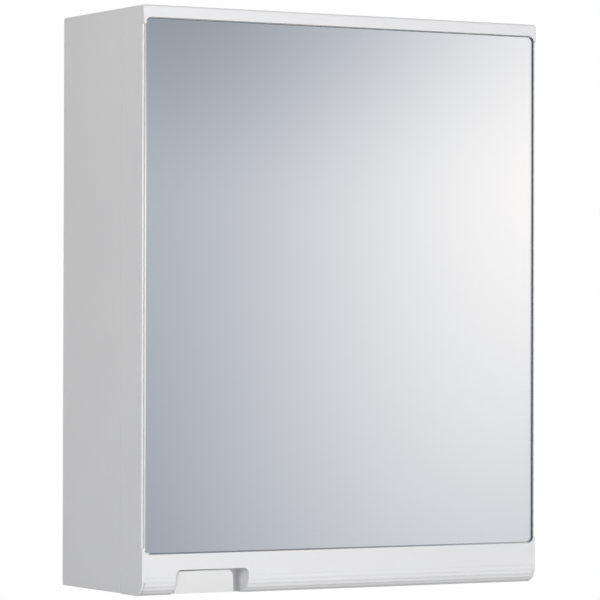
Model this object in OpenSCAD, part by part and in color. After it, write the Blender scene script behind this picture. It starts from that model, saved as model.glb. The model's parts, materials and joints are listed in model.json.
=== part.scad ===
// Wall-hung bathroom cabinet with a mirror door, white moulded plastic.
// Millimetres. +X is the viewer's right, +Y runs to the wall, +Z is up.
// The origin lies on the back face, midway between the two upper wall-screw slots.

/* [Cabinet] */
// Width over the side walls
width = 355; // [330:5:420]
// Height of the door, from its lower to its upper edge
height = 450; // [420:5:560]
// Depth from the wall to the front of the rails
depth = 140; // [134:1:170]
// Thickness of the side, top and bottom walls
wall = 3; // [2.6:0.2:3.6]
// Thickness of the back wall
back_wall = 3; // [2.6:0.2:4]
// How far the lower edge of the door stands below the cabinet
door_drop = 0.4; // [0:0.1:0.8]

/* [Wall screws] */
// Drop from the top edge to the upper wall screws
screw_drop = 40; // [34:1:55]
// Distance between the left and right wall screws
screw_span = 280; // [250:5:290]
// Height of the lower wall screws above the lower edge
lower_screw_h = 50; // [44:1:60]
// Radius of the wall-screw holes, half the width of the slots
screw_hole_r = 2.75; // [2.25:0.25:3.25]
// Length of the upper slots, end to end
slot_len = 14; // [10:1:18]
// Thickness of the raised pads round the wall-screw holes
screw_pad = 2.5; // [1.5:0.5:3]
// Width of the pads round the holes and slots
pad_margin = 5; // [4:0.5:6]

/* [Door] */
// Depth of the door, from the front of the rails to the seam
door_depth = 37.5; // [36:0.5:42]
// Gap at the seam between door and cabinet
seam_gap = 0.5; // [0.4:0.1:0.9]
// Height of the rail above the mirror
top_rail = 9.5; // [8.5:0.5:14]
// Height of the rail below the mirror
bottom_rail = 31.8; // [30.8:0.2:38]
// How far the strips beside the mirror lie behind the rails' face
strip_drop = 1.8; // [1.4:0.1:2.4]
// Width of the strips beside the mirror
side_strip = 1.8; // [1.5:0.1:2.4]
// Radius of the strips' outer edges
strip_r = 0.6; // [0.4:0.1:1]
// Radius of the rails' outer edges at the front
edge_r = 0.8; // [0.6:0.1:1.4]
// Radius of the upper rail's long front edge
crown_r = 2.2; // [1.5:0.1:2.6]
// Radius of the upper corners, seen from the front
top_r = 2; // [1:0.5:2.5]
// Radius of the lower corners, seen from the front
low_r = 1; // [0.5:0.1:1.4]
// Thickness of the panel that carries the mirror
panel = 2.3; // [2:0.1:3]
// Thickness of the upper rail's floor above the mirror
top_floor = 2.6; // [2:0.1:3]

/* [Fluted lower edge] */
// Radius of the door's rounded lower edge
round_r = 12; // [11:0.5:13]
// Number of flutes
flutes = 5; // [4:1:5]
// Height of the flutes' upper end above the lower edge
flute_top = 15; // [14.6:0.2:16]
// Width of each flute along the surface
flute_step = 3.7; // [3.4:0.1:3.8]
// Radius of each flute's hollow
flute_r = 6; // [5:0.5:8]
// How far the crests between the flutes lie below the cheeks
crest_drop = 0.1; // [0.05:0.05:0.2]
// Width of the plain cheeks at both ends of the flutes
cheek_w = 2.2; // [2:0.1:3]

/* [Mirror] */
// Thickness of the mirror glass
glass = 3; // [3:0.5:4]
// How far the glass lies behind the rails' face
glass_set = 0.1; // [0:0.1:0.3]
// Gap all round the glass
glass_gap = 0.15; // [0.1:0.05:0.25]
// Corner radius of the mirror opening
mirror_corner = 5.2; // [4:0.2:6]
// Thickness of the foam tape behind the glass
tape = 1; // [0.8:0.1:1.2]
// Width of each strip of tape
tape_w = 14; // [10:1:20]
// Distance from one strip of tape to the next
tape_pitch = 92; // [80:1:95]
// Length of tape left out above and below
tape_inset = 14; // [10:1:25]

/* [Finger grip] */
// Distance from the left side to the grip
grip_left = 29; // [27:0.5:34]
// Width of the grip
grip_w = 63; // [61:0.5:72]
// Height of the grip above the lower edge
grip_h = 19.4; // [19:0.2:21.4]
// Depth of the grip
grip_d = 20; // [18:0.5:22]
// Radius of the grip's upper corners
grip_corner = 4; // [3:0.5:5]
// Radius of the hollow between the grip's ceiling and its rear wall
grip_fillet = 6; // [4:0.5:6.5]
// Thickness of the walls round the grip
grip_wall = 2; // [1.6:0.2:2.4]

/* [Lock slider] */
// How far the slider's face lies behind the rail's face
plate_recess = 3.6; // [3.4:0.1:4.2]
// Thickness of the slider's plate
plate_t = 2.2; // [1.8:0.1:2.4]
// Visible width of the slider's plate
plate_w = 51; // [49:0.5:52]
// Gap above the plate
plate_gap = 0.8; // [0.5:0.1:1.2]
// Height of the plate's lower edge above the door's lower edge
plate_lift = 1.2; // [0.8:0.1:2]
// Radius of the plate's right-hand upper corner
plate_corner = 6; // [4:0.2:7]
// Length of the guiding tab behind the rail
tab_len = 12; // [10:0.5:14]
// Height of the guiding tab
tab_h = 6; // [5:0.2:6.4]
// Travel of the slider
travel = 8; // [6:0.5:8.5]
// Clearance round the slider
slide_gap = 0.3; // [0.2:0.05:0.5]
// Width of the neck that runs through the rear wall of the grip
neck_w = 16; // [14:0.5:18]
// Height of the neck
neck_h = 4.4; // [4:0.2:4.6]
// Height of the neck's middle above the door's lower edge
neck_lift = 9.6; // [9:0.1:10]
// Distance from the plate's left end to the middle of the neck
neck_inset = 20; // [18:0.5:22]
// Length of the neck behind the plate that stays solid
neck_solid = 1; // [0.8:0.1:2]
// Distance from the neck's ends to the screws in it
neck_screw_in = 4; // [3.5:0.1:5]
// Distance from the plate's left end to the bolt's arm
bolt_inset = 2; // [1.5:0.5:3]
// Thickness of the steel lock bolt
bolt_t = 2; // [1.6:0.2:2.4]
// Height of the bolt's arm
bolt_h = 6; // [5:0.5:6.5]
// Rim of the bolt's plate round the neck
bolt_rim = 1.2; // [1:0.1:1.5]
// Height of the arm's lower edge above the door's lower edge
bolt_lift = 11.5; // [11:0.1:12.5]
// How far the hook reaches beyond the travel
hook_more = 1; // [0.5:0.1:1.5]
// Clearance between the hook and the keeper
hook_gap = 0.8; // [0.6:0.1:1.2]
// Distance from the seam to the keeper, and from the keeper to the hook behind it
keeper_set = 1.2; // [1:0.1:1.6]
hook_set = 0.6; // [0.5:0.1:0.8]
// Thickness of the steel keeper
keeper_t = 1.5; // [1.2:0.1:1.8]
// Width of the keeper
keeper_w = 14; // [12:0.5:20]
// Height of the keeper's lip
keeper_lip = 14; // [13:0.5:18]
// Depth of the keeper's foot
keeper_foot = 24; // [20:1:28]
// Radius of the bosses under the keeper
keeper_boss_r = 3.6; // [3.2:0.1:4]
// Height of the bosses under the keeper
keeper_boss_h = 4; // [3:0.5:4.5]

/* [Hinges] */
// Length of each hinge
hinge_len = 40; // [34:1:48]
// Distance from the upper or lower edge to the middle of a hinge
hinge_inset = 62; // [50:1:75]
// Radius of the barrel
barrel_r = 3.5; // [3.2:0.1:4]
// Gap between the barrel and the plane of the side wall
barrel_gap = 0.3; // [0.2:0.1:0.5]
// Gap between the barrel and the other hinge half's leaf
leaf_gap = 0.5; // [0.3:0.1:0.8]
// Distance from the leaves' ends to the screws in them
leaf_screw_in = 8; // [7:0.5:9]
// Gap between two knuckles
knuckle_gap = 0.4; // [0.3:0.1:0.6]
// Reach of each leaf from the hinge axis
leaf_w = 17; // [16:0.5:18]
// Thickness of the leaves
leaf_t = 1.5; // [1.2:0.1:1.8]
// Radius of the leaves' outer corners
leaf_corner = 2.5; // [1.5:0.5:3]
// Radius of the hinge pin
pin_r = 1.5; // [1.3:0.1:1.7]
// Radial clearance of the pin in the knuckles
pin_fit = 0.05; // [0.03:0.01:0.08]
// How far the pin stands out below the lowest knuckle
pin_tail = 1; // [0.5:0.1:1.5]
// Height of the pin's head, and how much narrower than the barrel its foot and top are
pin_head_h = 1.6; // [1.2:0.1:2]
pin_head_in = 0.4; // [0.2:0.1:0.6]
pin_head_top_in = 1.2; // [1:0.1:1.6]

/* [Small screws] */
// Radius of the screws' shanks
shank_r = 1.4; // [1.2:0.1:1.6]
// Radius of the screws' heads
head_r = 2.7; // [2.4:0.1:3]
// Height of the screws' heads
head_h = 1.4; // [1.2:0.1:1.6]
// Width of the crossed recess's slots
recess_w = 0.7; // [0.6:0.1:0.9]
// Radial clearance round the shanks
screw_fit = 0.05; // [0.03:0.01:0.1]
// Radius of the bosses that take the screws
boss_r = 5; // [4.5:0.1:5.4]
// Height of the bosses on the walls
boss_h = 5; // [4.5:0.5:6]
// Material left past a screw's tip
boss_end = 1.5; // [1:0.1:2]

/* [Shelves] */
// Height of the lower shelf above the cabinet's lower edge
shelf_low_z = 152; // [135:1:165]
// Height of the upper shelf above the cabinet's lower edge
shelf_up_z = 292; // [260:1:300]
// Thickness of the shelves
shelf_t = 2.6; // [2.2:0.2:3.4]
// Gap between a shelf and the pads on the back wall
shelf_back_gap = 1; // [0.5:0.5:2]
// Distance from the cabinet's front edge to the shelves
shelf_inset = 8; // [6:0.5:10]
// Height of the lip below the shelf's front edge
shelf_lip = 9; // [7:0.5:14]
// Height of the upstand at the shelf's rear edge
shelf_up = 7; // [5:0.5:12]
// Thickness and height of the ribs under the shelf, and their distance from its ends
shelf_rib = 1.6; // [1.2:0.2:2]
shelf_rib_h = 5; // [4:0.5:7]
shelf_rib_in = 14; // [12:1:20]
// Gap between a shelf's end and the column beside it
shelf_gap = 0.5; // [0.3:0.1:0.8]
// Depth of the columns that take the shelf pegs
column_t = 5; // [4.5:0.1:6]
// Width of the columns
column_w = 10; // [9:0.5:12]
// Distance from the front and rear walls to the middle of a column
column_inset = 23; // [21:0.5:26]
// Radius of the pegs' round heads
peg_r = 4; // [3.6:0.1:4.4]
// Reach of the pegs under the shelf
peg_reach = 7; // [5:0.5:9]
// Radius of the pegs' pins
peg_pin_r = 1.7; // [1.5:0.1:1.8]
// Distance from a pin to the lowest line of the peg's round head
peg_rim = 0.2; // [0.1:0.1:0.4]
// Length of the pegs' pins
peg_pin_len = 4; // [3:0.1:4.2]
// Radial clearance of the pins in the columns
peg_fit = 0.05; // [0.03:0.01:0.1]
// Distance between the spare peg holes
peg_pitch = 32; // [25:1:34]

/* [Door trays] */
// Height of the lower tray above the door's lower edge
tray_low_z = 118; // [100:1:150]
// Height of the upper tray above the door's lower edge
tray_up_z = 262; // [245:1:300]
// Depth of the trays
tray_d = 24; // [22:0.5:25]
// Height of the trays' guard wall
tray_guard = 30; // [20:1:45]
// Thickness of the trays' walls
tray_t = 1.8; // [1.6:0.1:2.4]
// Gap between a tray's end and the door's side wall
tray_gap = 8; // [7:0.5:9]
// Reach of the ledges that carry the trays
ledge_reach = 13; // [12:0.5:16]
// Thickness of the ledges
ledge_t = 2.4; // [2:0.2:3]
// Height of the ledges' retaining lip
ledge_lip = 3; // [2:0.5:5]
// Clearance between a tray and what it stands against
tray_fit = 0.3; // [0.2:0.1:0.5]

/* [Magnetic catch] */
// Distance from the left side to the middle of the catch
catch_x = 40; // [38:1:55]
// Width of the magnet
magnet_w = 22; // [18:1:26]
// Height of the magnet
magnet_h = 5; // [4:0.5:5.5]
// Depth of the magnet
magnet_d = 13; // [10:0.5:14]
// Thickness of the pole plates
pole_t = 1.2; // [1:0.1:1.4]
// Distance from the cabinet's front edge to the pole plates
pole_set = 0.2; // [0.1:0.1:0.5]
// How far the ears lie behind the housing's front
ear_set = 1; // [0.5:0.5:2]
// How far the pole plates stand in front of the magnet
pole_reach = 1.4; // [1:0.1:1.8]
// Wall of the catch's housing
catch_wall = 2; // [1.6:0.1:2.4]
// Length of the housing's two screw ears
catch_ear = 11; // [10:0.5:12]
// Thickness of the ears
catch_ear_t = 2; // [1.6:0.1:2.4]
// Clearance of the magnet and its plates in the housing
catch_fit = 0.1; // [0.05:0.05:0.15]
// Gap between the pole plates and the strike plate
strike_gap = 0.3; // [0.2:0.1:0.4]
// Thickness of the strike plate
strike_t = 1.2; // [1:0.1:1.4]
// Width of the strike plate
strike_w = 26; // [20:1:28]
// Height of the strike plate
strike_h = 12; // [10:0.5:12]
// Width and height of the tower that carries the strike plate
tower_w = 16; // [12:1:20]
tower_h = 11; // [9:0.5:12]
// Length of the strike plate's screw
strike_screw_len = 9; // [7:0.5:10]

/* [Hidden] */
$fn = 48;
// How far cuts run past a face, how far joined shapes overlap, and room past a screw's tip
over = 1;
bite = 0.5;
tip_room = 0.3;

// Faces of the cabinet and the door
x_left = -width / 2;
x_right = width / 2;
y_front = -depth;
y_seam = y_front + door_depth;
y_body = y_seam + seam_gap;
z_top = screw_drop;
z_low = z_top - height;
z_body = z_low + door_drop;
x_in = x_right - wall;
z_floor = z_body + wall;
z_ceiling = z_top - wall;

// Mirror opening and what lies behind it
mirror_x = x_right - side_strip;
mirror_z0 = z_low + bottom_rail;
mirror_z1 = z_top - top_rail;
strip_z0 = mirror_z0 + mirror_corner;
strip_z1 = mirror_z1 - mirror_corner;
y_strip = y_front + strip_drop;
y_glass = y_front + glass_set;
y_tape = y_glass + glass;
y_panel = y_tape + tape;
y_cavity = y_panel + panel;

// Rounded lower edge: its length along the surface, and how far out the flutes' centres lie
round_len = round_r * PI / 2;
flute_turn = flute_step / 2 / round_len * 90;
flute_out = sqrt(pow(flute_r, 2) - pow(flute_step / 2, 2)) - crest_drop;
flute_rim = sqrt(pow(flute_r, 2) - pow(flute_out, 2));
flute_centre = round_r * cos(flute_turn) - crest_drop
    + sqrt(pow(flute_r, 2) - pow(round_r * sin(flute_turn), 2));

// Finger grip and slider
grip_x0 = x_left + grip_left;
grip_x1 = grip_x0 + grip_w;
plate_x0 = grip_x0 + slide_gap;
plate_x1 = plate_x0 + plate_w;
plate_z0 = z_low + plate_lift;
plate_z1 = z_low + grip_h - plate_gap;
plate_y = y_front + plate_recess;
tab_z0 = plate_z1 - tab_h;
neck_x = plate_x0 + neck_inset;
neck_z = z_low + neck_lift;
y_grip = y_front + grip_d;
y_grip_rear = y_grip + grip_wall;
y_bolt = y_grip_rear + slide_gap;
bolt_x0 = plate_x0 + bolt_inset;
bolt_x1 = neck_x + neck_w / 2 + bolt_rim;
bolt_z0 = z_low + bolt_lift;
bolt_foot_z = neck_z - neck_h / 2 - bolt_rim;
hook_len = travel + hook_more;
keeper_x = bolt_x0 + bolt_t + hook_len + hook_gap;
keeper_y = y_body + keeper_set;
hook_y = keeper_y + keeper_t + hook_set;
keeper_z = z_floor + keeper_boss_h;
keeper_screw_x = [keeper_x + keeper_boss_r, keeper_x + keeper_w - keeper_boss_r];
keeper_screw_y = keeper_y + keeper_foot - boss_r;
keeper_screw_len = keeper_t + keeper_boss_h + wall / 2;
slider_screw_dx = neck_w / 2 - neck_screw_in;
slider_screw_len = y_bolt + bolt_t - plate_y - plate_t - neck_solid;

// Hinges
axis_x = x_right + barrel_r + barrel_gap;
axis_y = y_seam + seam_gap / 2;
hinge_z = [z_top - hinge_inset, z_low + hinge_inset];
knuckle = (hinge_len - 2 * knuckle_gap) / 3;
leaf_in = barrel_r + leaf_gap;
screw_reach = leaf_w - boss_r;
leaf_screw_dz = hinge_len / 2 - leaf_screw_in;
leaf_screw_len = leaf_t + wall + boss_h - boss_end;

// Shelves and pegs
column_x = x_in - column_t;
column_y = [y_body + column_inset, -back_wall - column_inset];
shelf_x = column_x - shelf_gap;
shelf_y0 = y_body + shelf_inset;
shelf_y1 = -back_wall - screw_pad - shelf_back_gap;
shelf_z = [z_body + shelf_up_z, z_body + shelf_low_z];
peg_drop = peg_r - peg_pin_r - peg_rim;

// Trays and their ledges
tray_x = x_in - tray_gap;
tray_z = [z_low + tray_up_z, z_low + tray_low_z];
tray_y0 = y_cavity + tray_fit;
tray_y1 = tray_y0 + tray_d;

// Magnetic catch
catch_mid = x_left + catch_x;
case_w = magnet_w + 2 * (catch_fit + catch_wall);
case_h = magnet_h + 2 * (pole_t + catch_fit + catch_wall);
case_d = magnet_d + catch_fit + catch_wall;
pole_y = y_body + pole_set;
case_y = pole_y + pole_reach;
catch_z1 = z_ceiling - boss_h;
magnet_z = catch_z1 - case_h / 2;
ear_x = case_w / 2 + catch_ear / 2;
catch_screw_len = catch_ear_t + wall + boss_h - boss_end;
strike_y = pole_y - strike_gap;

// Box between two opposite corners, whose values may come in either order
module box(x0, x1, y0, y1, z0, z1) {
    translate([min(x0, x1), min(y0, y1), min(z0, z1)])
        cube([abs(x1 - x0), abs(y1 - y0), abs(z1 - z0)]);
}

// Round bars along each axis, between two ends in either order
module rod_x(r, x0, x1, y, z) {
    translate([min(x0, x1), y, z]) rotate([0, 90, 0]) cylinder(r = r, h = abs(x1 - x0));
}
module rod_y(r, y0, y1, x, z) {
    translate([x, min(y0, y1), z]) rotate([-90, 0, 0]) cylinder(r = r, h = abs(y1 - y0));
}
module rod_z(r, z0, z1, x, y) {
    translate([x, y, min(z0, z1)]) cylinder(r = r, h = abs(z1 - z0));
}

// Box whose four edges along Y are rounded
module round_box_y(x0, x1, y0, y1, z0, z1, r) {
    box(x0 + r, x1 - r, y0, y1, z0, z1);
    box(x0, x1, y0, y1, z0 + r, z1 - r);
    for (x = [x0 + r, x1 - r], z = [z0 + r, z1 - r])
        rod_y(r, y0, y1, x, z);
}

// What a rounding removes from an edge along Z; sx and sy point out of the edge
module edge_z(x, y, sx, sy, z0, z1, r) {
    difference() {
        box(x - sx * r, x + sx * over, y - sy * r, y + sy * over, z0, z1);
        rod_z(r, z0 - over, z1 + over, x - sx * r, y - sy * r);
    }
}

// What a rounding removes from an edge along Y; sx and sz point out of the edge
module edge_y(x, z, sx, sz, y0, y1, r) {
    difference() {
        box(x - sx * r, x + sx * over, y0, y1, z - sz * r, z + sz * over);
        rod_y(r, y0 - over, y1 + over, x - sx * r, z - sz * r);
    }
}

// What the roundings of the four outer corners remove, seen from the front
module corner_cuts(y0, y1, z0) {
    for (side = [-1, 1]) {
        edge_y(side * x_right, z_top, side, 1, y0, y1, top_r);
        edge_y(side * x_right, z0, side, -1, y0, y1, low_r);
    }
}

// Pan-head screw with a crossed recess; the head's underside is at z = 0
module screw(length) {
    difference() {
        union() {
            cylinder(r = head_r, h = head_h / 2);
            translate([0, 0, head_h / 2])
                cylinder(r1 = head_r, r2 = head_r - head_h / 2, h = head_h / 2);
            translate([0, 0, -length]) cylinder(r = shank_r, h = length);
        }
        for (turn = [0, 90])
            rotate([0, 0, turn])
                box(-shank_r, shank_r, -recess_w / 2, recess_w / 2, head_h / 2, head_h + over);
    }
}

// Wall-screw holes and slots, through the back wall and its pads
module wall_holes() {
    reach = slot_len / 2 - screw_hole_r;
    y0 = -back_wall - screw_pad - over;
    for (side = [-1, 1]) {
        x = side * screw_span / 2;
        for (dx = [-reach, reach])
            rod_y(screw_hole_r, y0, over, x + dx, 0);
        box(x - reach, x + reach, y0, over, -screw_hole_r, screw_hole_r);
        rod_y(screw_hole_r, y0, over, x, z_low + lower_screw_h);
    }
}

// Raised pads round the wall-screw holes
module wall_pads() {
    y0 = -back_wall - screw_pad;
    half_w = slot_len / 2 + pad_margin;
    half_h = screw_hole_r + pad_margin;
    for (side = [-1, 1]) {
        x = side * screw_span / 2;
        round_box_y(x - half_w, x + half_w, y0, -back_wall / 2, -half_h, half_h, pad_margin);
        rod_y(half_h, y0, -back_wall / 2, x, z_low + lower_screw_h);
    }
}

// Cabinet box with its columns, pads and screw bosses
module cabinet_shell() {
    color("whitesmoke") difference() {
        union() {
            difference() {
                box(x_left, x_right, y_body, 0, z_body, z_top);
                box(-x_in, x_in, y_body - over, -back_wall, z_floor, z_ceiling);
            }
            wall_pads();
            for (side = [-1, 1], y = column_y)
                box(side * column_x, side * (x_in + wall / 2), y - column_w / 2, y + column_w / 2,
                    z_body + wall / 2, z_top - wall / 2);
            for (z = hinge_z, dz = [-leaf_screw_dz, leaf_screw_dz])
                rod_x(boss_r, x_in - boss_h, x_in + wall / 2, axis_y + screw_reach, z + dz);
            for (side = [-1, 1])
                rod_z(boss_r, catch_z1, z_ceiling + wall / 2, catch_mid + side * ear_x,
                    case_y + case_d / 2);
            for (x = keeper_screw_x)
                rod_z(keeper_boss_r, z_floor - wall / 2, keeper_z, x, keeper_screw_y);
        }
        wall_holes();
        corner_cuts(y_body - over, over, z_body);
        for (side = [-1, 1], y = column_y, z = shelf_z, row = [-1, 0, 1])
            rod_x(peg_pin_r + peg_fit, side * (column_x - over), side * (column_x + peg_pin_len + tip_room),
                y, z - peg_drop + row * peg_pitch);
        for (z = hinge_z, dz = [-leaf_screw_dz, leaf_screw_dz])
            rod_x(shank_r + screw_fit, x_right + leaf_t - leaf_screw_len - tip_room, x_right + over,
                axis_y + screw_reach, z + dz);
        for (side = [-1, 1])
            rod_z(shank_r + screw_fit, catch_z1 - over, catch_z1 - catch_ear_t + catch_screw_len + tip_room,
                catch_mid + side * ear_x, case_y + case_d / 2);
        for (x = keeper_screw_x)
            rod_z(shank_r + screw_fit, keeper_z + keeper_t - keeper_screw_len - tip_room, keeper_z + over,
                x, keeper_screw_y);
    }
}

// Shelf with a front lip, a rear upstand and two ribs underneath
module shelf(z) {
    color("white") {
        box(-shelf_x, shelf_x, shelf_y0, shelf_y1, z, z + shelf_t);
        box(-shelf_x, shelf_x, shelf_y0, shelf_y0 + shelf_t, z - shelf_lip, z + shelf_t);
        box(-shelf_x, shelf_x, shelf_y1 - shelf_t, shelf_y1, z, z + shelf_t + shelf_up);
        for (part = [1 / 3, 2 / 3]) {
            y = shelf_y0 + (shelf_y1 - shelf_y0) * part;
            box(-shelf_x + shelf_rib_in, shelf_x - shelf_rib_in, y - shelf_rib / 2, y + shelf_rib / 2,
                z - shelf_rib_h, z + shelf_t / 2);
        }
    }
}

// Four pegs: half-round heads with a flat top under the shelf, and a pin in the column
module shelf_pegs(z) {
    color("gainsboro") for (side = [-1, 1], y = column_y) {
        difference() {
            rod_x(peg_r, side * column_x, side * (column_x - peg_reach), y, z);
            box(side * (column_x + over), side * (column_x - peg_reach - over),
                y - peg_r - over, y + peg_r + over, z, z + peg_r + over);
        }
        rod_x(peg_pin_r, side * (column_x - bite), side * (column_x + peg_pin_len), y, z - peg_drop);
    }
}

// One hinge leaf; dir is +1 on the cabinet and -1 on the door, knuckles lists its thirds
module leaf(z, dir, knuckles) {
    x1 = x_right + leaf_t;
    near = axis_y + dir * leaf_in;
    far = axis_y + dir * leaf_w;
    round_y = far - dir * leaf_corner;
    half = hinge_len / 2;
    color("gainsboro") difference() {
        union() {
            box(x_right, x1, near, round_y, z - half, z + half);
            box(x_right, x1, near, far, z - half + leaf_corner, z + half - leaf_corner);
            for (corner_z = [z - half + leaf_corner, z + half - leaf_corner])
                rod_x(leaf_corner, x_right, x1, round_y, corner_z);
            for (k = knuckles) {
                z0 = z - half + k * (knuckle + knuckle_gap);
                box(x_right, x1, axis_y, near + dir * bite, z0, z0 + knuckle);
                rod_z(barrel_r, z0, z0 + knuckle, axis_x, axis_y);
            }
        }
        rod_z(pin_r + pin_fit, z - hinge_len / 2 - over, z + hinge_len / 2 + over, axis_x, axis_y);
        for (dz = [-leaf_screw_dz, leaf_screw_dz])
            rod_x(shank_r + screw_fit, x_right - over, x_right + leaf_t + over,
                axis_y + dir * screw_reach, z + dz);
    }
}

// Hinge pin with a low round head on the upper knuckle
module hinge_pin(z) {
    z1 = z + hinge_len / 2;
    color("silver") {
        rod_z(pin_r, z - hinge_len / 2 - pin_tail, z1 + bite, axis_x, axis_y);
        translate([axis_x, axis_y, z1])
            cylinder(r1 = barrel_r - pin_head_in, r2 = barrel_r - pin_head_top_in, h = pin_head_h);
    }
}

// Screws of both leaves on one side of the seam
module leaf_screws(dir) {
    color("silver") for (z = hinge_z, dz = [-leaf_screw_dz, leaf_screw_dz])
        translate([x_right + leaf_t, axis_y + dir * screw_reach, z + dz])
            rotate([0, 90, 0]) screw(leaf_screw_len);
}

// Housing of the magnetic catch, open at the front, with two screw ears
module magnet_housing() {
    color("white") difference() {
        union() {
            box(catch_mid - case_w / 2, catch_mid + case_w / 2, case_y, case_y + case_d,
                catch_z1 - case_h, catch_z1);
            box(catch_mid - case_w / 2 - catch_ear, catch_mid + case_w / 2 + catch_ear,
                case_y + ear_set, case_y + case_d, catch_z1 - catch_ear_t, catch_z1);
        }
        box(catch_mid - magnet_w / 2 - catch_fit, catch_mid + magnet_w / 2 + catch_fit,
            case_y - over, case_y + magnet_d + catch_fit,
            magnet_z - magnet_h / 2 - pole_t - catch_fit, magnet_z + magnet_h / 2 + pole_t + catch_fit);
        for (side = [-1, 1])
            rod_z(shank_r + screw_fit, catch_z1 - catch_ear_t - over, catch_z1 + over,
                catch_mid + side * ear_x, case_y + case_d / 2);
    }
}

// Magnet between its two pole plates
module magnet_block() {
    color("dimgray") box(catch_mid - magnet_w / 2, catch_mid + magnet_w / 2, case_y, case_y + magnet_d,
        magnet_z - magnet_h / 2, magnet_z + magnet_h / 2);
}
module magnet_pole_plates() {
    color("silver") for (side = [-1, 1]) {
        z = magnet_z + side * (magnet_h + pole_t) / 2;
        box(catch_mid - magnet_w / 2, catch_mid + magnet_w / 2, pole_y, case_y + magnet_d,
            z - pole_t / 2, z + pole_t / 2);
    }
}
module magnet_screws() {
    color("silver") for (side = [-1, 1])
        translate([catch_mid + side * ear_x, case_y + case_d / 2, catch_z1 - catch_ear_t])
            rotate([180, 0, 0]) screw(catch_screw_len);
}

// Keeper: a lip behind which the hook slides, and a foot on two bosses
module lock_keeper() {
    x1 = keeper_x + keeper_w;
    color("silver") difference() {
        union() {
            box(keeper_x, x1, keeper_y, keeper_y + keeper_t, keeper_z, keeper_z + keeper_lip);
            box(keeper_x, x1, keeper_y, keeper_y + keeper_foot, keeper_z, keeper_z + keeper_t);
        }
        for (x = keeper_screw_x)
            rod_z(shank_r + screw_fit, keeper_z - over, keeper_z + keeper_t + over, x, keeper_screw_y);
    }
}
module keeper_screws() {
    color("silver") for (x = keeper_screw_x)
        translate([x, keeper_screw_y, keeper_z + keeper_t]) screw(keeper_screw_len);
}

// Rounding of the door's lower front edge, with the radius of the outer edges carried round it
module round_cut() {
    x0 = x_left - over;
    x1 = x_right + over;
    difference() {
        box(x0, x1, y_front - over, y_front + round_r, z_low - over, z_low + round_r);
        rod_x(round_r, x0 - over, x1 + over, y_front + round_r, z_low + round_r, $fn = 96);
    }
    intersection() {
        box(x0, x1, y_front - over, y_front + round_r, z_low - over, z_low + round_r);
        translate([0, y_front + round_r, z_low + round_r]) rotate([0, 90, 0])
            rotate_extrude($fn = 96) for (side = [-1, 1]) difference() {
                translate([round_r - edge_r, side > 0 ? x_right - edge_r : x0])
                    square([edge_r + over, edge_r + over]);
                translate([round_r - edge_r, side * (x_right - edge_r)]) circle(r = edge_r, $fn = 48);
            }
    }
}

// Flutes between the cheeks, side by side from the face of the rail down the rounded edge
module flute_cut() {
    x1 = x_right - cheek_w;
    for (k = [0:flutes - 1]) {
        along = round_len + flute_top - round_r - flute_rim - k * flute_step;
        turn = min(along / round_len * 90, 90);
        out = along > round_len ? round_r + flute_out : flute_centre;
        rod_x(flute_r, -x1, x1, y_front + round_r - out * sin(turn),
            z_low + round_r + max(along - round_len, 0) - out * cos(turn));
    }
}

// Hollow behind the rail, which keeps the wall's thickness along the rounded edge
module lower_cavity() {
    difference() {
        box(-x_in, x_in, y_front + wall, y_seam + over, z_low + wall, mirror_z0 - wall);
        difference() {
            box(-x_in - over, x_in + over, y_front, y_front + round_r, z_low, z_low + round_r);
            rod_x(round_r - wall, -x_in - 2 * over, x_in + 2 * over, y_front + round_r,
                z_low + round_r, $fn = 96);
        }
    }
}

// Space of the finger grip: flat ceiling at the front, rounded into the rear wall
module grip_space(grow) {
    intersection() {
        union() {
            box(grip_x0 - grow, grip_x1 + grow, y_front - over, y_grip + grow,
                z_low - over, z_low + grip_h - grip_corner);
            box(grip_x0 + grip_corner, grip_x1 - grip_corner, y_front - over, y_grip + grow,
                z_low - over, z_low + grip_h + grow);
            for (x = [grip_x0 + grip_corner, grip_x1 - grip_corner])
                rod_y(grip_corner + grow, y_front - over, y_grip + grow, x, z_low + grip_h - grip_corner);
        }
        union() {
            box(grip_x0 - grow - over, grip_x1 + grow + over, y_front - 2 * over, y_grip - grip_fillet,
                z_low - 2 * over, z_low + grip_h + grow + over);
            box(grip_x0 - grow - over, grip_x1 + grow + over, y_front - 2 * over, y_grip + grow + over,
                z_low - 2 * over, z_low + grip_h - grip_fillet);
            rod_x(grip_fillet + grow, grip_x0 - grow - over, grip_x1 + grow + over, y_grip - grip_fillet,
                z_low + grip_h - grip_fillet);
        }
    }
}

// Ledges in the door that carry the trays
module tray_ledges() {
    for (side = [-1, 1], z = tray_z) {
        x = [side * (x_in + wall / 2), side * (x_in - ledge_reach)];
        box(min(x), max(x), y_cavity - panel / 2, tray_y1 + tray_fit + ledge_t, z - ledge_t, z);
        box(min(x), max(x), tray_y1 + tray_fit, tray_y1 + tray_fit + ledge_t, z - ledge_t, z + ledge_lip);
    }
}

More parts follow.
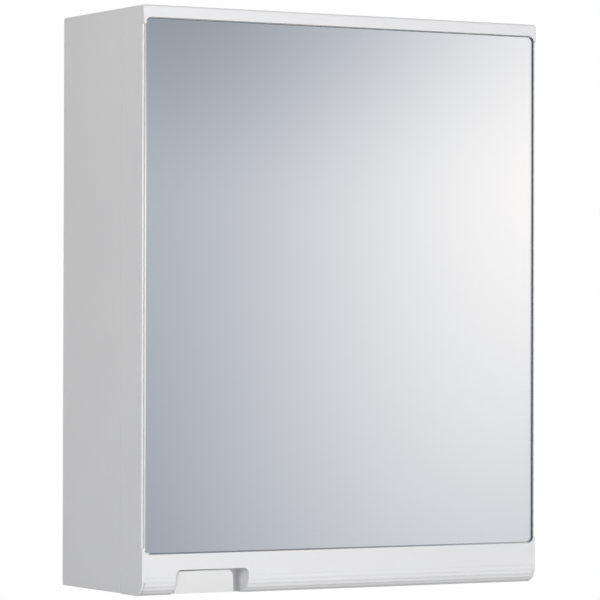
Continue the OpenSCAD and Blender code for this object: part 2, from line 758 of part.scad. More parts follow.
// Door moulding: rails, side strips, mirror panel, skirt, grip and ledges
module door_shell() {
    color("white") difference() {
        union() {
            difference() {
                box(x_left, x_right, y_front, y_seam, z_low, z_top);
                box(-x_in, x_in, y_cavity, y_seam + over, z_low + bottom_rail - wall, z_top - wall);
                lower_cavity();
                box(-x_in, x_in, y_front + wall, y_cavity + over, mirror_z1 + top_floor, z_top - wall);
            }
            intersection() {
                box(x_left + wall / 2, x_right - wall / 2, y_front + wall / 2, y_grip_rear,
                    z_low, z_low + bottom_rail);
                union() {
                    grip_space(grip_wall);
                    box(plate_x0 - tab_len - slide_gap - grip_wall, grip_x0 + over, y_front + wall / 2,
                        plate_y + plate_t + slide_gap + grip_wall, tab_z0 - slide_gap - grip_wall,
                        z_low + grip_h + grip_wall);
                }
            }
            tray_ledges();
            box(catch_mid - tower_w / 2, catch_mid + tower_w / 2, y_cavity - panel / 2, strike_y - strike_t,
                magnet_z - tower_h / 2, magnet_z + tower_h / 2);
            for (z = hinge_z, dz = [-leaf_screw_dz, leaf_screw_dz])
                rod_x(boss_r, x_in - boss_h, x_in + wall / 2, axis_y - screw_reach, z + dz);
        }
        round_cut();
        flute_cut();
        grip_space(0);
        corner_cuts(y_front - over, y_seam + over, z_low);
        // Guide of the slider's tab and slot for its neck
        box(plate_x0 - tab_len - slide_gap, grip_x0 + grip_corner, plate_y - slide_gap,
            plate_y + plate_t + slide_gap, tab_z0 - slide_gap, plate_z1 + slide_gap);
        box(neck_x - neck_w / 2 - slide_gap, neck_x + neck_w / 2 + travel + slide_gap, y_grip - over,
            y_grip_rear + over, neck_z - neck_h / 2 - slide_gap, neck_z + neck_h / 2 + slide_gap);
        // Mirror opening, and the lower level of the side strips
        round_box_y(-mirror_x, mirror_x, y_front - over, y_panel, mirror_z0, mirror_z1, mirror_corner);
        box(x_left - over, x_right + over, y_front - over, y_strip, strip_z0, strip_z1);
        for (side = [-1, 1]) {
            edge_z(side * x_right, y_front, side, -1, z_low + round_r, z_top + over, edge_r);
            edge_z(side * x_right, y_strip, side, -1, strip_z0, strip_z1, strip_r);
        }
        difference() {
            box(x_left - over, x_right + over, y_front - over, y_front + crown_r,
                z_top - crown_r, z_top + over);
            rod_x(crown_r, x_left - 2 * over, x_right + 2 * over, y_front + crown_r, z_top - crown_r);
        }
        for (z = hinge_z, dz = [-leaf_screw_dz, leaf_screw_dz])
            rod_x(shank_r + screw_fit, x_right + leaf_t - leaf_screw_len - tip_room, x_right + over,
                axis_y - screw_reach, z + dz);
        rod_y(shank_r + screw_fit, strike_y - strike_screw_len - tip_room, strike_y, catch_mid, magnet_z);
    }
}

// Mirror plate with rounded corners
module mirror_glass() {
    color("lightsteelblue")
        round_box_y(-mirror_x + glass_gap, mirror_x - glass_gap, y_glass, y_tape, mirror_z0 + glass_gap,
            mirror_z1 - glass_gap, mirror_corner - glass_gap);
}

// Foam tape between the mirror and its panel
module mirror_tape_strips() {
    color("lightgray") for (k = [-1.5:1:1.5])
        box(k * tape_pitch - tape_w / 2, k * tape_pitch + tape_w / 2, y_tape, y_panel,
            mirror_z0 + tape_inset, mirror_z1 - tape_inset);
}

// Tray that stands on its ledges: floor, rear wall, guard wall and two ends
module door_tray(z) {
    color("white") difference() {
        box(-tray_x, tray_x, tray_y0, tray_y1, z, z + tray_guard);
        box(-tray_x + tray_t, tray_x - tray_t, tray_y0 + tray_t, tray_y1 - tray_t,
            z + tray_t, z + tray_guard + over);
    }
}

// Steel strike plate and its countersunk screw
module strike_cone(grow) {
    translate([catch_mid, strike_y - strike_t, magnet_z]) rotate([-90, 0, 0])
        cylinder(r1 = shank_r + grow, r2 = shank_r + strike_t + grow, h = strike_t);
}
module strike_plate() {
    color("silver") difference() {
        box(catch_mid - strike_w / 2, catch_mid + strike_w / 2, strike_y - strike_t, strike_y,
            magnet_z - strike_h / 2, magnet_z + strike_h / 2);
        strike_cone(screw_fit);
    }
}
module strike_screw() {
    color("silver") {
        strike_cone(0);
        rod_y(shank_r, strike_y - strike_screw_len, strike_y - strike_t / 2, catch_mid, magnet_z);
    }
}

// Sliding plate in the grip, with its guiding tab, a flange and the neck through the rear wall
module slider_plate() {
    y1 = plate_y + plate_t;
    color("white") difference() {
        union() {
            box(plate_x0, plate_x1, plate_y, y1, plate_z0, plate_z1 - plate_corner);
            box(plate_x0, plate_x1 - plate_corner, plate_y, y1, plate_z0, plate_z1);
            rod_y(plate_corner, plate_y, y1, plate_x1 - plate_corner, plate_z1 - plate_corner);
            box(plate_x0 - tab_len, plate_x0 + over, plate_y, y1, tab_z0, plate_z1);
            box(plate_x0, plate_x0 + plate_t, y1 - bite, y_grip - slide_gap, plate_z0, tab_z0);
            box(neck_x - neck_w / 2, neck_x + neck_w / 2, y1 - bite, y_bolt,
                neck_z - neck_h / 2, neck_z + neck_h / 2);
        }
        for (side = [-1, 1])
            rod_y(shank_r + screw_fit, y_bolt + bolt_t - slider_screw_len - tip_room, y_bolt + over,
                neck_x + side * slider_screw_dx, neck_z);
    }
}

// Bent steel bolt: plate on the neck, arm to the cabinet and hook behind the keeper
module lock_bolt() {
    color("silver") difference() {
        union() {
            box(bolt_x0, bolt_x1, y_bolt, y_bolt + bolt_t, bolt_foot_z, bolt_z0 + bolt_h);
            box(bolt_x0, bolt_x0 + bolt_t, y_bolt, hook_y + bolt_t, bolt_z0, bolt_z0 + bolt_h);
            box(bolt_x0, bolt_x0 + bolt_t + hook_len, hook_y, hook_y + bolt_t, bolt_z0, bolt_z0 + bolt_h);
        }
        for (side = [-1, 1])
            rod_y(shank_r + screw_fit, y_bolt - over, y_bolt + bolt_t + over,
                neck_x + side * slider_screw_dx, neck_z);
    }
}
module slider_screws() {
    color("silver") for (side = [-1, 1])
        translate([neck_x + side * slider_screw_dx, y_bolt + bolt_t, neck_z])
            rotate([-90, 0, 0]) screw(slider_screw_len);
}

cabinet_shell();
shelf(shelf_z[0]);  // shelf_upper
shelf(shelf_z[1]);  // shelf_lower
shelf_pegs(shelf_z[0]);  // shelf_pegs_upper
shelf_pegs(shelf_z[1]);  // shelf_pegs_lower
leaf(hinge_z[0], 1, [0, 2]);  // hinge_upper_cabinet_leaf
leaf(hinge_z[1], 1, [0, 2]);  // hinge_lower_cabinet_leaf
hinge_pin(hinge_z[0]);  // hinge_upper_pin
hinge_pin(hinge_z[1]);  // hinge_lower_pin
leaf_screws(1);  // cabinet_leaf_screws
magnet_housing();
magnet_block();
magnet_pole_plates();
magnet_screws();
lock_keeper();
keeper_screws();
door_shell();
mirror_glass();
mirror_tape_strips();
door_tray(tray_z[0]);  // door_tray_upper
door_tray(tray_z[1]);  // door_tray_lower
leaf(hinge_z[0], -1, [1]);  // hinge_upper_door_leaf
leaf(hinge_z[1], -1, [1]);  // hinge_lower_door_leaf
leaf_screws(-1);  // door_leaf_screws
strike_plate();
strike_screw();
slider_plate();
lock_bolt();
slider_screws();
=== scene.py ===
"""Looks of the bathroom mirror cabinet: a white moulded wall cabinet with a hinged mirror door.

Metres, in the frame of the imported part: +X to the viewer's right, +Y to the wall, +Z up.
"""

import json
from math import cos, radians, sin

import bmesh
import bpy
from mathutils import Matrix, Vector

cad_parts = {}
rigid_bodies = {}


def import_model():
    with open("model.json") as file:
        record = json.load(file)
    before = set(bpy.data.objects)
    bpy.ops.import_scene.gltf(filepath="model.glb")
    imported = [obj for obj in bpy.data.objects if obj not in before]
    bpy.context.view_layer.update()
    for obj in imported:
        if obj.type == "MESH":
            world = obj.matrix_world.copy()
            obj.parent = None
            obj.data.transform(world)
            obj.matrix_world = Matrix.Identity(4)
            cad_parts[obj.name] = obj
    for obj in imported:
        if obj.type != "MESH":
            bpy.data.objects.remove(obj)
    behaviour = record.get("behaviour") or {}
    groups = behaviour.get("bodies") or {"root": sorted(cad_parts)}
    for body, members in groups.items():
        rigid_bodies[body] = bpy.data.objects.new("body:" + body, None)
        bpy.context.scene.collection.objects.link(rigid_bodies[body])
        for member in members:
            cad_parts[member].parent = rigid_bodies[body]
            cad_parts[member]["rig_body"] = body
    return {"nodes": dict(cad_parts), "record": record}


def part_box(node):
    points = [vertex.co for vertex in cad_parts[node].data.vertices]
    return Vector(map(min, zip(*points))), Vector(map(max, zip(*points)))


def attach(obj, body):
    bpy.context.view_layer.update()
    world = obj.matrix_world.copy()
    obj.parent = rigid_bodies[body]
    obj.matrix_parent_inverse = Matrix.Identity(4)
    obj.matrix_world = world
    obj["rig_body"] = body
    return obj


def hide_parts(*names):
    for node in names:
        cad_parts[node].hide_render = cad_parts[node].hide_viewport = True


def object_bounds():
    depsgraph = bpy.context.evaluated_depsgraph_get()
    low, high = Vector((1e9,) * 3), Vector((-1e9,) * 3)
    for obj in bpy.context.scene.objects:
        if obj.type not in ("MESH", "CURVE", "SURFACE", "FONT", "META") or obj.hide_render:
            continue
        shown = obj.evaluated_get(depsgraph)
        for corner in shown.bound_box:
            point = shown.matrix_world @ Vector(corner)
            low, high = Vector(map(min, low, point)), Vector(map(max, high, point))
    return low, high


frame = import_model()
cad_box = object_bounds()
MM = 0.001


def linear(code):
    """The linear colour of an sRGB hex value, opaque."""
    shares = [int(code[i:i + 2], 16) / 255 for i in (1, 3, 5)]
    return (*(s / 12.92 if s <= 0.04045 else ((s + 0.055) / 1.055) ** 2.4 for s in shares), 1.0)


def add(tree, kind, inputs=None, **settings):
    """Adds a shader node; inputs holds a value or a link for each named or numbered socket."""
    made = tree.nodes.new("ShaderNode" + kind)
    for key, value in settings.items():
        setattr(made, key, value)
    for socket, value in (inputs or {}).items():
        if isinstance(value, bpy.types.NodeSocket):
            tree.links.new(value, made.inputs[socket])
        else:
            made.inputs[socket].default_value = value
    return made


def new_material(name):
    """An empty material, its tree and its object coordinates."""
    material = bpy.data.materials.new(name)
    material.use_nodes = True
    tree = material.node_tree
    tree.nodes.clear()
    place = add(tree, "TexCoord").outputs["Object"]
    return material, tree, place


def close(tree, surface):
    """Joins the finished shader to the material's output."""
    add(tree, "OutputMaterial", {"Surface": surface})


# Materials

PLASTIC_IOR = 1.5
GLASS_IOR = 1.52


def moulded_plastic(name, light, shade, roughness, grain_size):
    """Injection-moulded polystyrene or ABS: an even white, satin to fine matt, with a fine eroded
    grain from the mould, and a broad, hardly visible unevenness where the walls cooled."""
    cooling_size = 70 * MM
    gloss_spread = 0.1
    material, tree, place = new_material(name)
    cooling = add(tree, "TexNoise", {"Vector": place, "Scale": 1 / cooling_size, "Detail": 2.0})
    tint = add(tree, "Mix", {"Factor": cooling.outputs["Fac"], "A": linear(light),
                             "B": linear(shade)}, data_type="RGBA")
    # The mould's real grain is too fine to show, so grain_size is larger
    grain = add(tree, "TexNoise", {"Vector": place, "Scale": 1 / grain_size, "Detail": 1.0})
    # The range is wider than the noise, since a clamped end would draw a contour line
    gloss = add(tree, "MapRange", {"Value": cooling.outputs["Fac"],
                                   "From Min": -0.5, "From Max": 1.5,
                                   "To Min": roughness - gloss_spread,
                                   "To Max": roughness + gloss_spread})
    wave = add(tree, "Bump", {"Height": cooling.outputs["Fac"], "Strength": 1.0,
                              "Distance": 0.06 * MM})
    relief = add(tree, "Bump", {"Height": grain.outputs["Fac"], "Normal": wave.outputs["Normal"],
                                "Strength": 0.5, "Distance": 0.02 * MM})
    shader = add(tree, "BsdfPrincipled", {"Base Color": tint.outputs["Result"],
                                          "IOR": PLASTIC_IOR,
                                          "Roughness": gloss.outputs["Result"],
                                          "Normal": relief.outputs["Normal"]})
    close(tree, shader.outputs["BSDF"])
    return material


def float_glass():
    """Clear float glass, polished on its front and its bevelled rim: sharp reflections, hardly
    dulled by a faint film in places."""
    film_size = 90 * MM
    material, tree, place = new_material("float_glass")
    smear = add(tree, "TexNoise", {"Vector": place, "Scale": 1 / film_size, "Detail": 3.0})
    film = add(tree, "MapRange", {"Value": smear.outputs["Fac"], "From Min": 0.45,
                                  "From Max": 0.75, "To Min": 0.0, "To Max": 0.012})
    shader = add(tree, "BsdfPrincipled", {"Base Color": linear("#FCFDFD"), "IOR": GLASS_IOR,
                                          "Transmission Weight": 1.0,
                                          "Roughness": film.outputs["Result"]})
    close(tree, shader.outputs["BSDF"])
    return material


def silver_coat():
    """Wet-silvered layer behind the glass: a bright mirror with a slightly cool tone."""
    tarnish_size = 120 * MM
    material, tree, place = new_material("silver_coat")
    tarnish = add(tree, "TexNoise", {"Vector": place, "Scale": 1 / tarnish_size, "Detail": 2.0})
    tone = add(tree, "Mix", {"Factor": tarnish.outputs["Fac"], "A": linear("#FBFBFB"),
                             "B": linear("#F8F8F9")}, data_type="RGBA")
    shader = add(tree, "BsdfPrincipled", {"Base Color": tone.outputs["Result"], "Metallic": 1.0,
                                          "Roughness": 0.0})
    close(tree, shader.outputs["BSDF"])
    return material


def ground_glass_edge():
    """Machine-ground edge of the glass: frosted and pale from outside. Through the plate its colour
    is painted: painted shade makes the upright edges dark, and painted light makes the level ones
    paler, standing in for light that falls on them from above and below."""
    grit_size = 0.8 * MM  # coarser than the real grit, which is too fine to show
    material, tree, place = new_material("ground_glass_edge")
    grit = add(tree, "TexNoise", {"Vector": place, "Scale": 1 / grit_size, "Detail": 2.0})
    outside = add(tree, "Mix", {"Factor": grit.outputs["Fac"], "A": linear("#E6EBE9"),
                                "B": linear("#F3F6F5")}, data_type="RGBA")
    face = add(tree, "NewGeometry")
    facing = add(tree, "SeparateXYZ", {0: face.outputs["True Normal"]})
    level = add(tree, "Math", {0: facing.outputs["Z"]}, operation="ABSOLUTE")
    # Painted shade and painted light for the edge seen through the plate: dark upright edges, paler
    # level ones
    inside_painted_shade_and_light = add(tree, "Mix", {"Factor": level.outputs["Value"], "A": linear("#5E6362"),
                               "B": linear("#B6BBBA")}, data_type="RGBA")
    # Through the plate the edge shows this painted shade and light, from outside its own frosted
    # colour
    tone = add(tree, "Mix", {"Factor": face.outputs["Backfacing"],
                             "A": outside.outputs["Result"],
                             "B": inside_painted_shade_and_light.outputs["Result"]}, data_type="RGBA")
    relief = add(tree, "Bump", {"Height": grit.outputs["Fac"], "Strength": 0.6,
                                "Distance": 0.03 * MM})
    shader = add(tree, "BsdfPrincipled", {"Base Color": tone.outputs["Result"], "Roughness": 0.5,
                                          "IOR": GLASS_IOR, "Normal": relief.outputs["Normal"]})
    close(tree, shader.outputs["BSDF"])
    return material


def zinc_plated_steel():
    """Bright zinc on pressed steel: a silvery sheen with fine spangle and a drifting haze."""
    spangle_size = 1.6 * MM  # coarser than the real crystals, which are too fine to show
    haze_size = 6 * MM
    material, tree, place = new_material("zinc_plated_steel")
    spangle = add(tree, "TexVoronoi", {"Vector": place, "Scale": 1 / spangle_size})
    tone = add(tree, "Mix", {"Factor": spangle.outputs["Distance"], "A": linear("#C9CCCE"),
                             "B": linear("#AEB3B7")}, data_type="RGBA")
    haze = add(tree, "TexNoise", {"Vector": place, "Scale": 1 / haze_size, "Detail": 3.0})
    gloss = add(tree, "MapRange", {"Value": haze.outputs["Fac"], "To Min": 0.22, "To Max": 0.42})
    shader = add(tree, "BsdfPrincipled", {"Base Color": tone.outputs["Result"], "Metallic": 1.0,
                                          "Roughness": gloss.outputs["Result"]})
    close(tree, shader.outputs["BSDF"])
    return material


def powder_coat():
    """White polyester powder coat on steel: soft gloss with the shallow orange peel of the baked
    film."""
    peel_size = 1.4 * MM
    material, tree, place = new_material("powder_coat")
    peel = add(tree, "TexNoise", {"Vector": place, "Scale": 1 / peel_size, "Detail": 1.0})
    relief = add(tree, "Bump", {"Height": peel.outputs["Fac"], "Strength": 0.5,
                                "Distance": 0.04 * MM})
    tone = add(tree, "Mix", {"Factor": peel.outputs["Fac"], "A": linear("#E6E6E5"),
                             "B": linear("#DEDEDD")}, data_type="RGBA")
    shader = add(tree, "BsdfPrincipled", {"Base Color": tone.outputs["Result"], "Roughness": 0.3,
                                          "IOR": PLASTIC_IOR, "Normal": relief.outputs["Normal"]})
    close(tree, shader.outputs["BSDF"])
    return material


def foam_tape():
    """Closed-cell polyethylene foam: matt off-white with small open cells where it was slit."""
    cell_size = 0.6 * MM
    material, tree, place = new_material("foam_tape")
    cells = add(tree, "TexVoronoi", {"Vector": place, "Scale": 1 / cell_size})
    tone = add(tree, "Mix", {"Factor": cells.outputs["Distance"], "A": linear("#BFBDB6"),
                             "B": linear("#DCDAD4")}, data_type="RGBA")
    relief = add(tree, "Bump", {"Height": cells.outputs["Distance"], "Strength": 0.8,
                                "Distance": 0.1 * MM})
    shader = add(tree, "BsdfPrincipled", {"Base Color": tone.outputs["Result"], "Roughness": 0.9,
                                          "Normal": relief.outputs["Normal"]})
    close(tree, shader.outputs["BSDF"])
    return material


def sintered_ferrite():
    """Sintered and ground ferrite: nearly black, with a dull ceramic grain."""
    grain_size = 0.7 * MM  # coarser than the real grain, which is too fine to show
    material, tree, place = new_material("sintered_ferrite")
    grain = add(tree, "TexNoise", {"Vector": place, "Scale": 1 / grain_size, "Detail": 3.0})
    tone = add(tree, "Mix", {"Factor": grain.outputs["Fac"], "A": linear("#2A2A2C"),
                             "B": linear("#46464A")}, data_type="RGBA")
    relief = add(tree, "Bump", {"Height": grain.outputs["Fac"], "Strength": 0.6,
                                "Distance": 0.05 * MM})
    shader = add(tree, "BsdfPrincipled", {"Base Color": tone.outputs["Result"], "Roughness": 0.6,
                                          "Normal": relief.outputs["Normal"]})
    close(tree, shader.outputs["BSDF"])
    return material


SHELL = moulded_plastic("satin_moulded_polystyrene", "#E4E4E5", "#DFDFE1", 0.34, 0.7 * MM)
FITTING = moulded_plastic("moulded_abs_fitting", "#E0E0E0", "#DADADB", 0.3, 0.5 * MM)
SHELF = moulded_plastic("fine_matt_moulded_polystyrene", "#E2E3E4", "#DBDCDE", 0.5, 0.6 * MM)
GLASS = float_glass()
SILVER = silver_coat()
GROUND = ground_glass_edge()
ZINC = zinc_plated_steel()
POWDER = powder_coat()
FOAM = foam_tape()
FERRITE = sintered_ferrite()


# Pieces

SAME_POINT = 0.002 * MM
SAME_PLANE = radians(0.3)
ROUNDED_FROM = radians(28)
SHADED_SHARP_FROM = radians(38)


def finish_piece(name, bm, materials, body, nodes):
    """Makes the object of a finished mesh, with smooth faces between sharp edges."""
    mesh = bpy.data.meshes.new(name)
    bm.to_mesh(mesh)
    bm.free()
    mesh.shade_smooth()
    mesh.set_sharp_from_angle(angle=SHADED_SHARP_FROM)
    for material in materials:
        mesh.materials.append(material)
    piece = bpy.data.objects.new(name, mesh)
    bpy.context.scene.collection.objects.link(piece)
    normals = piece.modifiers.new("face_normals", "WEIGHTED_NORMAL")
    normals.keep_sharp = True
    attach(piece, body)
    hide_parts(*nodes)


def merged_copy(node):
    """A node's mesh with its doubles merged and its flat faces made whole."""
    bm = bmesh.new()
    bm.from_mesh(frame["nodes"][node].data)
    bmesh.ops.remove_doubles(bm, verts=bm.verts, dist=SAME_POINT)
    bmesh.ops.dissolve_limit(bm, angle_limit=SAME_PLANE, use_dissolve_boundaries=False,
                             verts=bm.verts, edges=bm.edges)
    return bm


def bevel_edges(bm, edges, width, segments):
    """Bevels edges: flat with one segment, round with more."""
    bmesh.ops.bevel(bm, geom=edges, offset=width, offset_type="OFFSET", segments=segments,
                    profile=0.5, affect="EDGES", material=-1, clamp_overlap=False)


def softened(name, node, radius, material, body, too_fine=None):
    """A node with the small radius that its moulding or pressing leaves on every sharp edge, apart
    from the edges that too_fine picks out by the places of their two ends."""
    bm = merged_copy(node)
    sharp = [e for e in bm.edges if e.is_manifold and e.calc_face_angle(0) > ROUNDED_FROM]
    if too_fine:
        sharp = [e for e in sharp if not too_fine([v.co for v in e.verts])]
    bevel_edges(bm, sharp, radius, segments=2)
    finish_piece(name, bm, [material], body, [node])


DOOR_LOW, DOOR_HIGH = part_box("door_shell")
# How far the door's rounded front edge reaches back and its flutes up, and how far out the flutes'
# ends and the steps beside the strips lie
ROUNDED_FRONT = DOOR_LOW.y + 13 * MM
FLUTES_TOP = DOOR_LOW.z + 17 * MM
FLUTE_ENDS = DOOR_HIGH.x - 5 * MM
OUTER_STEPS = DOOR_HIGH.x - 2.3 * MM


def fine_door_edge(ends):
    """True for the crests and the ends of the door's shallow flutes, and for the small steps in its
    rounded outer edge, between the rails and the strips."""
    front = all(end.y < ROUNDED_FRONT for end in ends)
    fluted = all(end.z < FLUTES_TOP for end in ends)
    reaches_out = any(abs(end.x) > FLUTE_ENDS for end in ends)
    outermost = all(abs(end.x) > OUTER_STEPS for end in ends)
    return front and (outermost or fluted and reaches_out)


softened("cabinet_moulding", "cabinet_shell", 0.3 * MM, SHELL, "cabinet")
softened("door_moulding", "door_shell", 0.25 * MM, SHELL, "door", fine_door_edge)

FRONT_BEVEL = 0.6 * MM
BACK_BEVEL = 0.2 * MM
SILVER_INSET = 0.03 * MM
RIM_WITHIN = 0.01 * MM
# How far a face's normal points to the wall: below the first it is polished glass, above the
# second silver, and between them ground edge
POLISHED_BELOW = -0.3
SILVERED_ABOVE = 0.9


def mirror_plate():
    """Silvered glass plate: polished front with a bevelled rim, ground edge all round, and the
    silver on its back, a hair in front of the tape."""
    low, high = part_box("mirror_glass")
    back = high.y - SILVER_INSET
    bm = merged_copy("mirror_glass")
    for vert in bm.verts:
        if vert.co.y > back:
            vert.co.y = back
    for level, width in ((low.y, FRONT_BEVEL), (back, BACK_BEVEL)):
        rim = [e for e in bm.edges if all(abs(v.co.y - level) < RIM_WITHIN for v in e.verts)]
        bevel_edges(bm, rim, width, segments=1)
    finishes = [GLASS, SILVER, GROUND]
    for face in bm.faces:
        if face.normal.y < POLISHED_BELOW:
            finish = GLASS
        elif face.normal.y > SILVERED_ABOVE:
            finish = SILVER
        else:
            finish = GROUND
        face.material_index = finishes.index(finish)
    finish_piece("mirror_plate", bm, finishes, "door", ["mirror_glass"])


mirror_plate()

# The finish and the edge radius of all other parts, by the record's material slot
SLOT_FINISH = {
    "white_fittings": (FITTING, 0.2 * MM),
    "white_shelf": (SHELF, 0.3 * MM),
    "foam_tape": (FOAM, 0.1 * MM),
    "hinge_metal": (POWDER, 0.15 * MM),
    "zinc_steel": (ZINC, 0.08 * MM),
    "ferrite": (FERRITE, 0.15 * MM),
}
for part in frame["record"]["subparts"]:
    node, slot = part["node"], part["material_slot"]
    if slot in SLOT_FINISH:
        finish, radius = SLOT_FINISH[slot]
        softened(node + "_detailed", node, radius, finish, frame["nodes"][node]["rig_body"])


# Stage: floor, lamps and surroundings

FLOOR_DROP = 0.6
FLOOR_RADIUS = 4.0
FADE_FROM = 0.3 * FLOOR_RADIUS
FADE_TO = 0.95 * FLOOR_RADIUS
CLOUD_SIZE = 1 / 3


def floor():
    """Pale floor well below the hanging cabinet; it fades out before its rim, and isn't seen from
    underneath."""
    bm = bmesh.new()
    bmesh.ops.create_circle(bm, cap_ends=True, segments=96, radius=FLOOR_RADIUS)
    bmesh.ops.translate(bm, verts=bm.verts, vec=(0, 0, cad_box[0].z - FLOOR_DROP))
    mesh = bpy.data.meshes.new("studio_floor")
    bm.to_mesh(mesh)
    bm.free()
    material, tree, place = new_material("painted_studio_floor")
    flat = add(tree, "VectorMath", {0: place, 1: (1, 1, 0)}, operation="MULTIPLY")
    radius = add(tree, "VectorMath", {0: flat.outputs["Vector"]}, operation="LENGTH")
    fade = add(tree, "MapRange", {"Value": radius.outputs["Value"], "From Min": FADE_FROM,
                                  "From Max": FADE_TO}, interpolation_type="SMOOTHSTEP")
    cloud = add(tree, "TexNoise", {"Vector": place, "Scale": 1 / CLOUD_SIZE})
    paint = add(tree, "Mix", {"Factor": cloud.outputs["Fac"], "A": linear("#E6E6E6"),
                              "B": linear("#E2E2E2")}, data_type="RGBA")
    matt = add(tree, "BsdfDiffuse", {"Color": paint.outputs["Result"]})
    clear = add(tree, "BsdfTransparent")
    face = add(tree, "NewGeometry")
    gone = add(tree, "Math", {0: fade.outputs["Result"], 1: face.outputs["Backfacing"]},
               operation="MAXIMUM")
    both = add(tree, "MixShader", {"Fac": gone.outputs["Value"], 1: matt.outputs["BSDF"],
                                   2: clear.outputs["BSDF"]})
    close(tree, both.outputs["Shader"])
    mesh.materials.append(material)
    ground = bpy.data.objects.new("studio_floor", mesh)
    bpy.context.scene.collection.objects.link(ground)


floor()

MIDDLE = (cad_box[0] + cad_box[1]) / 2


def lamp(name, place, width, height, power, in_mirror=False):
    """A soft rectangular lamp that faces the cabinet's middle; power in watts."""
    light = bpy.data.lights.new(name, "AREA")
    light.shape = "RECTANGLE"
    light.size = width
    light.size_y = height
    light.energy = power
    holder = bpy.data.objects.new(name, light)
    bpy.context.scene.collection.objects.link(holder)
    holder.location = place
    holder.rotation_euler = (MIDDLE - Vector(place)).to_track_quat("-Z", "Y").to_euler()
    holder.visible_glossy = in_mirror
    holder.visible_transmission = in_mirror


lamp("key_softbox", (0.4, -2.5, 0.2), width=1.6, height=1.6, power=28.3)
lamp("left_softbox", (-1.6, -1.5, 0.2), width=0.6, height=0.6, power=16.2)
lamp("back_softbox", (0.6, 2.4, 0.5), width=1.2, height=1.2, power=14)
lamp("left_strip", (-1.2, -1.1, 0.0), width=0.3, height=0.9, power=0.9, in_mirror=True)

# What mirror and gloss see. Azimuths are from straight ahead of the mirror to either side, heights
# are above the horizon, and a level of 1 is white
TURN_FROM, TURN_TO = radians(25.4), radians(33.43)
AHEAD_LEVEL, SIDE_LEVEL = 0.56, 1.107
TURN_SLANT = -0.28
HIGH_FROM, HIGH_TO = radians(1.8), radians(5.86)
HIGH_LOSS = 0.304
AHEAD_SHARE, SIDE_SHARE = -1.1, -0.37
RIM_FROM, RIM_TO = radians(42), radians(52)
REAR_FROM, REAR_TO = radians(75), radians(95)
RIM_SHARE = -1.75
LOW_FROM, LOW_TO = radians(-13.5), radians(4.82)
LOW_LEVEL = 0.23
COOL_LEVEL, WARM_LEVEL = 0.3, 1.1
# Strength of the light on matt surfaces, from the sides and below, and from straight above
AMBIENT, AMBIENT_ABOVE = 0.335, 0.26


def view_in_gloss(tree, axes):
    """What mirror and gloss see: it turns from blue-grey ahead to white at the sides, and darkens
    upwards and downwards."""
    side = add(tree, "Math", {0: axes.outputs["X"]}, operation="ABSOLUTE")
    ahead = add(tree, "Math", {0: axes.outputs["Y"], 1: -1.0}, operation="MULTIPLY")
    azimuth = add(tree, "Math", {0: side.outputs["Value"], 1: ahead.outputs["Value"]},
                  operation="ARCTAN2")
    height = add(tree, "Math", {0: axes.outputs["Z"]}, operation="ARCSINE")
    slanted = add(tree, "Math", {0: height.outputs["Value"], 1: TURN_SLANT,
                                 2: azimuth.outputs["Value"]}, operation="MULTIPLY_ADD")
    across = add(tree, "MapRange", {"Value": slanted.outputs["Value"],
                                    "From Min": TURN_FROM, "From Max": TURN_TO,
                                    "To Min": AHEAD_LEVEL, "To Max": SIDE_LEVEL},
                 interpolation_type="SMOOTHSTEP")
    # Upwards light is lost: more ahead than beside, and most of all farther round, where only the
    # mirror's bevelled rim looks
    lost = add(tree, "MapRange", {"Value": height.outputs["Value"],
                                  "From Min": HIGH_FROM, "From Max": HIGH_TO,
                                  "To Min": 0.0, "To Max": HIGH_LOSS},
               interpolation_type="SMOOTHSTEP")
    plate_share = add(tree, "MapRange", {"Value": across.outputs["Result"],
                                         "From Min": AHEAD_LEVEL, "From Max": SIDE_LEVEL,
                                         "To Min": AHEAD_SHARE, "To Max": SIDE_SHARE})
    round_side = add(tree, "MapRange", {"Value": azimuth.outputs["Value"], "From Min": RIM_FROM,
                                        "From Max": RIM_TO})
    rim_share = add(tree, "MapRange", {"Value": azimuth.outputs["Value"],
                                       "From Min": REAR_FROM, "From Max": REAR_TO,
                                       "To Min": RIM_SHARE, "To Max": 0.0})
    share = add(tree, "Math", {0: round_side.outputs["Result"], 1: rim_share.outputs["Result"],
                               2: plate_share.outputs["Result"]}, operation="MULTIPLY_ADD")
    above = add(tree, "Math", {0: lost.outputs["Result"], 1: share.outputs["Value"], 2: 1.0},
                operation="MULTIPLY_ADD")
    below = add(tree, "MapRange", {"Value": height.outputs["Value"],
                                   "From Min": LOW_FROM, "From Max": LOW_TO,
                                   "To Min": LOW_LEVEL, "To Max": 1.0},
                interpolation_type="SMOOTHSTEP")
    upper = add(tree, "Math", {0: across.outputs["Result"], 1: above.outputs["Value"]},
                operation="MULTIPLY")
    level = add(tree, "Math", {0: upper.outputs["Value"], 1: below.outputs["Result"]},
                operation="MULTIPLY")
    warmth = add(tree, "MapRange", {"Value": level.outputs["Value"], "From Min": COOL_LEVEL,
                                    "From Max": WARM_LEVEL})
    tint = add(tree, "Mix", {"Factor": warmth.outputs["Result"], "A": linear("#E6F2FF"),
                             "B": linear("#FFFBF9")}, data_type="RGBA")
    return add(tree, "Background", {"Color": tint.outputs["Result"],
                                    "Strength": level.outputs["Value"]})


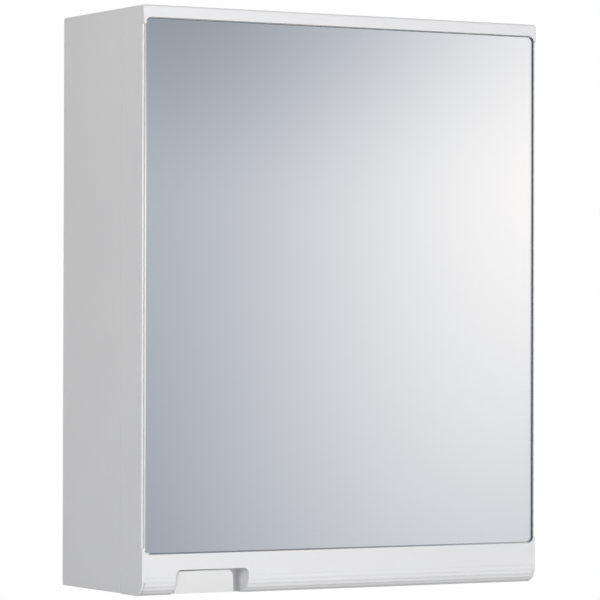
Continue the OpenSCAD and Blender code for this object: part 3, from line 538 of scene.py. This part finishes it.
def surroundings():
    """White background for the camera, the view of the room for mirror and gloss, and for matt
    surfaces an even light from all sides and from below, and less from above."""
    world = bpy.data.worlds.new("studio")
    bpy.context.scene.world = world
    world.use_nodes = True
    tree = world.node_tree
    tree.nodes.clear()
    way = add(tree, "TexCoord").outputs["Generated"]
    axes = add(tree, "SeparateXYZ", {0: way})
    seen = view_in_gloss(tree, axes)
    even = add(tree, "MapRange", {"Value": axes.outputs["Z"], "To Min": AMBIENT,
                                  "To Max": AMBIENT_ABOVE})
    ambient = add(tree, "Background", {"Color": linear("#FFFFFF"),
                                       "Strength": even.outputs["Result"]})
    white = add(tree, "Background", {"Color": linear("#FFFFFF"), "Strength": 1.0})
    rays = add(tree, "LightPath")
    mirrored = add(tree, "Math", {0: rays.outputs["Is Glossy Ray"],
                                  1: rays.outputs["Is Transmission Ray"]}, operation="MAXIMUM")
    lit = add(tree, "MixShader", {"Fac": mirrored.outputs["Value"],
                                  1: ambient.outputs["Background"],
                                  2: seen.outputs["Background"]})
    shown = add(tree, "MixShader", {"Fac": rays.outputs["Is Camera Ray"],
                                    1: lit.outputs["Shader"], 2: white.outputs["Background"]})
    add(tree, "OutputWorld", {"Surface": shown.outputs["Shader"]})


surroundings()


# Camera

CAMERA_PLACE = (-1.39454, -2.54661, -0.21035)
YAW, PITCH, ROLL = radians(29.357), radians(0.5487), radians(0.1352)
FOCAL_LENGTH_MM = 213.13
SENSOR_WIDTH_MM = 36
CLIP_START = 0.05


def camera():
    """The photograph's viewpoint: a long lens from the left, level with the middle of the
    mirror."""
    lens = bpy.data.cameras.new("camera")
    lens.lens = FOCAL_LENGTH_MM
    lens.sensor_width = SENSOR_WIDTH_MM
    lens.clip_start = CLIP_START
    holder = bpy.data.objects.new("camera", lens)
    bpy.context.scene.collection.objects.link(holder)
    ahead = Vector((sin(YAW) * cos(PITCH), cos(YAW) * cos(PITCH), sin(PITCH)))
    right = Vector((cos(YAW), -sin(YAW), 0))
    up = right.cross(ahead)
    across = right * cos(ROLL) + up * sin(ROLL)
    rise = up * cos(ROLL) - right * sin(ROLL)
    turn = Matrix((across, rise, -ahead)).transposed()
    holder.matrix_world = Matrix.Translation(CAMERA_PLACE) @ turn.to_4x4()
    bpy.context.scene.camera = holder


camera()
bpy.context.scene.view_settings.view_transform = "Standard"
